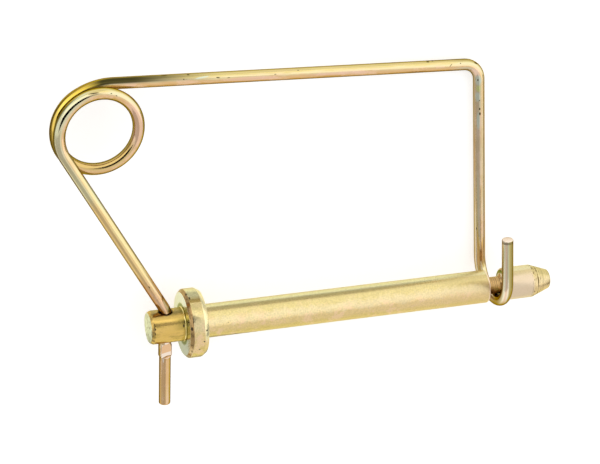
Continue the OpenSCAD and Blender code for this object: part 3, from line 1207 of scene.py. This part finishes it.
pinFinish = {
    # tints by lean: partly the plating's own colour, partly painted reflection and shade
    'filmAndSheen': {
        'Under': (0.70, 0.54, 0.18, 1),
        'Side': (0.74, 0.56, 0.25, 1),
        'Front': (0.74, 0.62, 0.34, 1),
        'Top': (0.68, 0.56, 0.24, 1),
        # a painted highlight along the pin's top
        'Crown': (0.80, 0.75, 0.41, 1),
        'Patch Scale': 300.0,
        'Wander': 0.9,
    },
    'flecks': {
        'Scale': 160.0,
        'Start': 0.50,
        'Full': 0.60,
        'Upper Lean': 0.75,
        'Lower Lean': 0.10,
        'Least': 0.15,
        'Most': 0.6,
    },
    'grain': {'Scale': 1500.0, 'Dark': 0.84},
    'specks': {'Scale': 330.0, 'Size': 0.07},
    'rings': {'Scale': 2600.0, 'Detail': 2.0},
    'mottleStretch': (0.4, 1, 1),
    # scale, detail and roughness of a noise
    'mottle': (420.0, 4.0, 0.7),
    'blotches': (900.0, 3.0, 0.6),
    'edgeDirt': (420.0, 3.0, 0.6),
    'coneDirt': (500.0, 2.0, 0.5),
    'edge': (0.90, 0.86, 0.60, 1),
    'blush': (0.82, 0.57, 0.36, 1),
    'pale': (0.86, 0.92, 0.80, 1),
    'stubReflectionOnFace': (0.24, 0.28, 0.06, 1),   # painted reflection of the stub in the collar's back beside it
    'headFace': (0.86, 0.90, 0.62, 1),
    # a painted brown reflection as a band near the rim's top
    'rimDarkReflection': (0.40, 0.29, 0.08, 1),
    'backChamfer': (0.48, 0.31, 0.13, 1),
    'backChamferLow': (0.74, 0.56, 0.30, 1),
    # a painted highlight on the front chamfer's upper part, and a painted highlight line on the fillet
    'frontChamferHighlight': (0.88, 0.78, 0.44, 1),
    'fillet': (0.88, 0.74, 0.30, 1),
    'neck': (0.50, 0.32, 0.13, 1),
    # a pink rim with a painted glint on the shank's shoulder
    'shoulder': (0.92, 0.72, 0.58, 1),
    'land': (0.66, 0.53, 0.39, 1),
    'dark': (0.07, 0.05, 0.03, 1),
    'grime': (0.20, 0.13, 0.05, 1),
    # a painted brown reflection along the stub's top
    'stubTopReflection': (0.38, 0.26, 0.07, 1),
    'stub': (0.70, 0.46, 0.11, 1),
    # the stub's mottle and its painted shade towards the collar
    'stubMottleAndShade': (0.30, 0.24, 0.05, 1),
    # each tint: its paint, then how much of what is below it covers
    'tint': {
        'flecks': ('blush', 1),
        'mottle': ('stubMottleAndShade', 0.5),
        'stubShade': ('stubMottleAndShade', 0.6),
        'neck': ('neck', 1),
        'land': ('land', 1),
        'shoulder': ('shoulder', 0.7),
        'rimDarkReflection': ('rimDarkReflection', 0.8),
        'frontChamferHighlight': ('frontChamferHighlight', 1),
        'fillet': ('fillet', 1),
        'headFace': ('headFace', 1),
        'headStain': ('grime', 0.55),
        'dirt': ('grime', 1),
        # painted shade inside the cross hole
        'hole': ('dark', 1),
        'marks': ('dark', 1),
    },
    'tipBlush': 0.35,
    'stubShare': 0.85,
    'landShare': (0.8, 0.25),
    'coneRings': 0.5,
    'edgeDirtShare': 0.8,
    'speckShare': 0.5,
    # what starts along the pin: a shoulder, then metres on from it to where it starts and is full
    'rise': {
        'stub': ('collarBack', 0.0002, -0.0002),
        'stubShade': ('collarBack', -0.006, -0.001),
        'cone': ('tipStart', -0.0003, 0.0001),
        'headEnd': ('headEnd', 0.002, 0.001),
        'shankOnly': ('grooveStart', 0.0002, 0),
    },
    # a stretch of the pin: from and to, each a shoulder and metres on from it, then the fade
    'zone': {
        'groove': ('grooveStart', 0, 'grooveEnd', -0.0006, 0.0002),
        'land': ('grooveEnd', 0, 'tipStart', -0.001, 0.001),
        'shoulder': ('grooveStart', -0.0006, 'grooveStart', -0.0001, 0.0001),
        'headEdge': ('headEnd', 0.0002, 'headEnd', 0.0009, 0.0003),
        'collarEdge': ('collarBack', 0.0002, 'collarBack', 0.0009, 0.0002),
        'coneBase': ('tipStart', -0.0002, 'tipStart', 0.0022, 0.0012),
        'fillet': ('filletStart', 0, 'collarBack', -0.0001, 0.0001),
    },
    # the value at which an effect starts and is full: of the radius in metres, of the lean from -1 to 1,
    # of a noise, or of the place along the pin for nearTip and dull
    'span': {
        'nearTip': (0.02, pinSize['shankLength']),
        'stubTopReflection': (0.80, 0.97),
        'mottle': (0.50, 0.68),
        'neck': (0.0060, 0.0050),
        'landTop': (0.72, 0.94),
        'backFace': (-0.90, -0.97),
        'stubReflectionOnFace': (0.0084, 0.0074),
        'rim': (0.01170, 0.01185),
        'raised': (-0.45, -0.15),
        'upper': (-0.20, 0.05),
        'headStain': (0.50, 0.64),
        'rings': (0.40, 0.60),
        'collarEdge': (0.0118, 0.0120),
        'edgeDirt': (0.46, 0.62),
        'ringDirt': (0.56, 0.44),
        'coneDirt': (0.46, 0.56),
        'hole': (0.0007, 0.0002),          # metres outside the hole's own radius
        'patches': (0.35, 0.65),
        'dull': (0.080, 0.100),
    },
    # the same for a band: from, to and how softly it fades
    'band': {
        'stubShade': (0.25, 0.65, 0.2),
        'rimDarkReflection': (0.90, 0.93, 0.02),
        'backChamfer': (-0.90, -0.30, 0.1),
        'frontChamferHighlight': (0.25, 0.95, 0.1),
        'fillet': (pinSize['shankRadius'], 0.0065, 0.0001),
    },
    'filletShare': 0.6,                    # of the fillet, from the collar, that catches the light
    'ringShade': (0.55, 1.15),
    'roughness': (0.16, 0.26),
    'headRoughness': 0.45,
    'dullRoughness': 0.36,
    'grainHeight': 0.5,
    'bumpDepth': 0.00003,
    # run mm, degrees round, length mm, width mm, slant
    'nicks': [
        (12.2, -43, 1.1, 0.7, 0),
        (-3.8, -22, 0.8, 0.7, 0),
        (-2.2, -6, 0.8, 0.7, 0),
        (-6.2, 84, 0.8, 1.3, 0),
        (-5.6, 73, 0.7, 1.8, 0),
        (-1.1, 13, 1.0, 1.0, 0),
        (-6.7, 18, 1.0, 1.8, 0),
        (-19.0, 21, 0.6, 1.0, 0),
        (-19.2, 5, 0.5, 1.3, 0),
        (-8.2, 22, 0.8, 1.6, 0),
    ],
}


def readPin():
    look, shoulders = pinFinish, pinPlaces()
    shoulders['filletStart'] = shoulders['collarBack'] - pinSize['headFillet'] * look['filletShare']
    material, tree = newMaterial('pinPlating')
    place = addNode(tree, 'TexCoord').outputs
    at, facing = axes(tree, place['Object']), axes(tree, place['Normal'])
    radius = lengthOf(tree, stretch(tree, place['Object'], (0, 1, 1)))
    rings = addNode(tree, 'TexNoise', {
        'W': calc(tree, 'ADD', at['X'], radius), **look['rings']}, noise_dimensions='1D')
    return material, {
        'look': look,
        'tree': tree,
        'landmarks': shoulders,
        'run': at['X'],
        'place': place['Object'],
        'at': at,
        'normal': place['Normal'],
        'ahead': facing['X'],
        'up': facing['Y'],
        'radius': radius,
        'rings': rings.outputs['Fac'],
    }


def tintStub(skin):
    # the head's stub is a deeper gold, with a painted brown reflection along its top and painted shade
    # towards the collar
    tree, look = skin['tree'], skin['look']
    stub = pastPoint(skin, 'stub')
    deep = mixColour(tree, inSpan(skin, 'stubTopReflection', skin['up']), look['stub'], look['stubTopReflection'])
    cover(skin, deep, stub, look['stubShare'])
    mottle = noise(tree, stretch(tree, skin['place'], look['mottleStretch']), *look['mottle'])
    lay(skin, 'mottle', stub, inSpan(skin, 'mottle', mottle))
    lay(skin, 'stubShade', pastPoint(skin, 'stubShade'), inBand(skin, 'stubShade', skin['up']), stub)


def tintTurned(skin):
    # the groove's neck, the land and the shank's shoulder with a painted glint, then the faces, which are
    # paler, with a painted reflection of the stub on the collar's back beside the stub
    tree, look = skin['tree'], skin['look']
    lay(skin, 'neck', skin['neck'])
    lay(skin, 'land', inZone(skin, 'land'), inSpan(skin, 'landTop', skin['up'], look['landShare']))
    # a painted glint on the shank's shoulder
    lay(skin, 'shoulder', inZone(skin, 'shoulder'))
    reflectedStub = inSpan(skin, 'stubReflectionOnFace', skin['radius'])
    cover(skin, mixColour(tree, reflectedStub, look['pale'], look['stubReflectionOnFace']), skin['backFace'])


def tintCollar(skin):
    # the rim has a painted brown reflection as a band near its top, a brown back chamfer that is paler on
    # its lower part, and a painted highlight on the upper part of its front chamfer; the fillet gets a
    # painted highlight line
    tree, look, up = skin['tree'], skin['look'], skin['up']
    rim = inSpan(skin, 'rim', skin['radius'])
    lay(skin, 'rimDarkReflection', rim, inBand(skin, 'rimDarkReflection', up))
    backChamferTone = mixColour(tree, inSpan(skin, 'raised', up), look['backChamferLow'], look['backChamfer'])
    cover(skin, backChamferTone, rim, inBand(skin, 'backChamfer', skin['ahead']))
    lay(skin, 'frontChamferHighlight', rim, inBand(skin, 'frontChamferHighlight', skin['ahead']), inSpan(skin, 'upper', up))
    # a painted highlight line along the fillet
    lay(skin, 'fillet', inZone(skin, 'fillet'), inBand(skin, 'fillet', skin['radius']))


def tintHead(skin):
    # the head's end is greener and blotched
    blotches = noise(skin['tree'], skin['place'], *skin['look']['blotches'])
    lay(skin, 'headFace', skin['headFace'])
    lay(skin, 'headStain', skin['headFace'], inSpan(skin, 'headStain', blotches))


def cutRings(skin):
    # rings left by the tool
    tree, look = skin['tree'], skin['look']
    shade = inSpan(skin, 'rings', skin['rings'], look['ringShade'])
    share = calc(tree, 'MAXIMUM', skin['neck'], times(tree, skin['cone'], look['coneRings']))
    cover(skin, mixColour(tree, 1.0, skin['colour'], shade, 'MULTIPLY'), share)


def addDirtAndHoleShade(skin):
    # dirt along the chamfers and in the tool marks below the cone's base, and painted shade inside the
    # cross hole
    tree, look = skin['tree'], skin['look']
    collarEdge = times(tree, inZone(skin, 'collarEdge'), inSpan(skin, 'collarEdge', skin['radius']))
    edges = calc(tree, 'MAXIMUM', inZone(skin, 'headEdge'), collarEdge)
    broken = inSpan(skin, 'edgeDirt', noise(tree, skin['place'], *look['edgeDirt']))
    edges = times(tree, edges, broken, look['edgeDirtShare'])
    patches = inSpan(skin, 'coneDirt', noise(tree, skin['place'], *look['coneDirt']))
    cone = times(tree, inZone(skin, 'coneBase'), inSpan(skin, 'ringDirt', skin['rings']), patches)
    lay(skin, 'dirt', calc(tree, 'MAXIMUM', edges, cone))
    # painted shade darkens the inside of the cross hole
    fromHole = addNode(tree, 'Mapping', {
        'Vector': skin['place'], 'Location': (-skin['landmarks']['hole'], 0, 0), 'Scale': (1, 0, 1)})
    depth = calc(tree, 'SUBTRACT', lengthOf(tree, fromHole.outputs[0]), pinSize['holeRadius'])
    lay(skin, 'hole', inSpan(skin, 'hole', depth))


def makePinPlating():
    material, skin = readPin()
    tree, look, at = skin['tree'], skin['look'], skin['at']
    skin['neck'] = times(tree, inZone(skin, 'groove'), inSpan(skin, 'neck', skin['radius']))
    skin['cone'] = pastPoint(skin, 'cone')
    skin['backFace'] = inSpan(skin, 'backFace', skin['ahead'])
    skin['headFace'] = times(tree, skin['backFace'], pastPoint(skin, 'headEnd'))
    seen = {'Vector': skin['place'], 'Normal': skin['normal']}
    filmAndSheen = placeGroup(tree, filmAndPaintedSheen, {**seen, **look['filmAndSheen']})
    flecks = placeGroup(tree, pinkFlecks, {**seen, **look['flecks']})
    grain = placeGroup(tree, zincGrain, {'Vector': skin['place'], **look['grain']})
    skin['colour'] = mixColour(tree, 1.0, filmAndSheen['Color'], grain['Shade'], 'MULTIPLY')
    # towards the tip, a painted pink reflection on the side that faces down
    nearTip = inSpan(skin, 'nearTip', skin['run'], (0, look['tipBlush']))
    lay(skin, 'flecks', calc(tree, 'MAXIMUM', flecks['Mask'], times(tree, nearTip, flecks['Below'])))
    for dress in (tintStub, tintTurned, tintCollar, tintHead, cutRings, addDirtAndHoleShade):
        dress(skin)
    specks = placeGroup(tree, speckPits, {'Vector': skin['place'], **look['specks']})['Mask']
    upright = addNode(tree, 'CombineXYZ', {0: at['Z'], 1: at['Y'], 2: at['X']}).outputs[0]
    nicks = addNicks(tree, upright, look['nicks'])
    marks = calc(tree, 'MAXIMUM', nicks, times(tree, specks, look['speckShare']))
    lay(skin, 'marks', marks)
    # the head's end is rougher, and the shank is duller towards its groove
    roughness = calc(tree, 'MAXIMUM', inSpan(skin, 'patches', filmAndSheen['Patch'], look['roughness']),
                     times(tree, skin['headFace'], look['headRoughness']))
    dull = inSpan(skin, 'dull', skin['run'], (0, look['dullRoughness']))
    roughness = calc(tree, 'MAXIMUM', roughness, times(tree, dull, pastPoint(skin, 'shankOnly')))
    turned = calc(tree, 'MAXIMUM', calc(tree, 'MAXIMUM', skin['neck'], skin['cone']), skin['backFace'])
    height = calc(tree, 'ADD', times(tree, grain['Height'], look['grainHeight']),
                  times(tree, skin['rings'], turned))
    plate(skin, roughness, calc(tree, 'SUBTRACT', height, marks))
    return material


wire.data.materials.append(makeWirePlating())
pin.data.materials.append(makePinPlating())
print('finishes made')


studio = {
    'floorSize': 6,
    'floorLevel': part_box('wire')[0].z,
    'floorGlow': 0.55,
    'paper': (0.8, 0.8, 0.8, 1),
    'white': (1, 1, 1, 1),
    'middle': (0.042, 0.033, 0),   # what the lamps are turned to
    'coil': (-0.038, 0.081, 0),
    'lampAway': 1.0,
    'coilCardAway': 0.22,
    'cardLift': 0.0001,
    'worldGlow': 0.6,
}


def looksSeen(tree):
    # 1 where the camera, a mirror or a glass looks, 0 for everything else
    path = addNode(tree, 'LightPath').outputs
    mirrors = calc(tree, 'MAXIMUM', path['Is Glossy Ray'], path['Is Transmission Ray'])
    return calc(tree, 'MAXIMUM', path['Is Camera Ray'], mirrors)


def addFloor():
    deselectAll()
    bpy.ops.mesh.primitive_plane_add(size=studio['floorSize'], location=(0, 0, studio['floorLevel']))
    floor = nameNew('paleFloor')
    material, tree = newMaterial('palePaper')
    paper = addNode(tree, 'BsdfDiffuse', {'Color': studio['paper']})
    glow = addNode(tree, 'Emission', {
        'Color': studio['white'], 'Strength': times(tree, looksSeen(tree), studio['floorGlow'])})
    both = addNode(tree, 'AddShader', {0: paper.outputs[0], 1: glow.outputs[0]})
    addNode(tree, 'OutputMaterial', {'Surface': both.outputs[0]})
    floor.data.materials.append(material)


def addWorld():
    world = bpy.data.worlds.new('whiteRoom')
    bpy.context.scene.world = world
    world.use_nodes = True
    tree = world.node_tree
    tree.nodes.clear()
    dim = addNode(tree, 'Background', {'Color': studio['white'], 'Strength': studio['worldGlow']})
    white = addNode(tree, 'Background', {'Color': studio['white'], 'Strength': 1.0})
    mix = addNode(tree, 'MixShader', {0: looksSeen(tree), 1: dim.outputs[0], 2: white.outputs[0]})
    addNode(tree, 'OutputWorld', {'Surface': mix.outputs[0]})


def lookFrom(around, above):
    # direction seen from the part: around from the camera's side towards the tip, above the pin
    a, b = math.radians(around), math.radians(above)
    return Vector((math.sin(a) * math.cos(b), math.sin(b), math.cos(a) * math.cos(b)))


def cardPlace(seenFrom, around, above, away, roll):
    # faces the point, with its height along the pin's upright direction
    back = lookFrom(around, above)
    side = Vector((0, 1, 0)).cross(back).normalized()
    top = back.cross(side)
    turned = Matrix((side, top, back)).transposed().to_4x4() @ Matrix.Rotation(math.radians(roll), 4, 'Z')
    return Matrix.Translation(Vector(seenFrom) + back * away) @ turned


def cardSize(wide, high, away):
    # degrees as seen from the part to metres
    return [2 * away * math.tan(math.radians(angle / 2)) for angle in (wide, high)]


def addSoftbox(name, around, above, wide, high, roll, level):
    # level is what it adds to the white room, where 1 is white
    bpy.ops.object.light_add(type='AREA')
    lamp = nameNew(name)
    lamp.data.shape = 'RECTANGLE'
    lamp.data.size, lamp.data.size_y = cardSize(wide, high, studio['lampAway'])
    lamp.visible_camera = False
    lamp.data.energy = level * math.pi * lamp.data.size * lamp.data.size_y
    lamp.matrix_world = cardPlace(studio['middle'], around, above, studio['lampAway'], roll)


def addCard(name, seenFrom, away, around, above, wide, high, roll, shade):
    # a grey or black card that only shows in reflections
    deselectAll()
    bpy.ops.mesh.primitive_plane_add(size=1)
    card = nameNew(name)
    spread = Matrix.Diagonal((*cardSize(wide, high, away), 1, 1))
    card.matrix_world = cardPlace(studio[seenFrom], around, above, away, roll) @ spread
    paintCard(card, shade)


def addFloorCard(name, spanX, spanY, shade):
    # lies on the floor
    deselectAll()
    middle = (sum(spanX) / 2, sum(spanY) / 2, studio['floorLevel'] + studio['cardLift'])
    bpy.ops.mesh.primitive_plane_add(size=1, location=middle)
    card = nameNew(name)
    card.scale = (spanX[1] - spanX[0], spanY[1] - spanY[0], 1)
    paintCard(card, shade)


def paintCard(card, shade):
    material, tree = newMaterial(card.name + 'Paint')
    paint = addNode(tree, 'Emission', {'Color': studio['white'], 'Strength': shade})
    addNode(tree, 'OutputMaterial', {'Surface': paint.outputs[0]})
    card.data.materials.append(material)
    card.visible_camera = False
    card.visible_diffuse = False
    card.visible_shadow = False


# angles in degrees as seen from the part, distances and floor cards in metres
softboxes = {
    'leftSoftbox': {'around': -37, 'above': 48, 'wide': 72, 'high': 42, 'roll': 20, 'level': 0.5},
    'rightSoftbox': {'around': 66, 'above': 22, 'wide': 76, 'high': 84, 'roll': 0, 'level': 0.42},
}
coilCards = {
    'coilCard': {'around': -19, 'above': 19, 'wide': 60, 'high': 34, 'roll': 22, 'shade': 0.0},
    'coilCardEnd': {'around': 15, 'above': 29, 'wide': 12, 'high': 28, 'roll': 22, 'shade': 0.5},
}
sideCards = {
    'lowCard': {'away': 0.9, 'around': -50, 'above': -32, 'wide': 84, 'high': 46, 'shade': 0.6},
    'rightCard': {'away': 0.7, 'around': 90, 'above': -18, 'wide': 34, 'high': 26, 'shade': 0.35},
}
floorCards = {
    'loopCard': {'spanX': (-0.062, 0.108), 'spanY': (0.022, 0.093), 'shade': 0.66},
    'tailCard': {'spanX': (-0.100, 0.030), 'spanY': (-0.060, -0.012), 'shade': 0.64},
    'sideCard': {'spanX': (-0.130, -0.062), 'spanY': (0.010, 0.150), 'shade': 0.35},
}

addFloor()
addWorld()
for name, values in softboxes.items():
    addSoftbox(name, **values)
for name, values in coilCards.items():
    addCard(name, seenFrom='coil', away=studio['coilCardAway'], **values)
for name, values in sideCards.items():
    addCard(name, seenFrom='middle', roll=0, **values)
for name, values in floorCards.items():
    addFloorCard(name, **values)
bpy.context.scene.view_settings.view_transform = 'Standard'
print('studio lit')
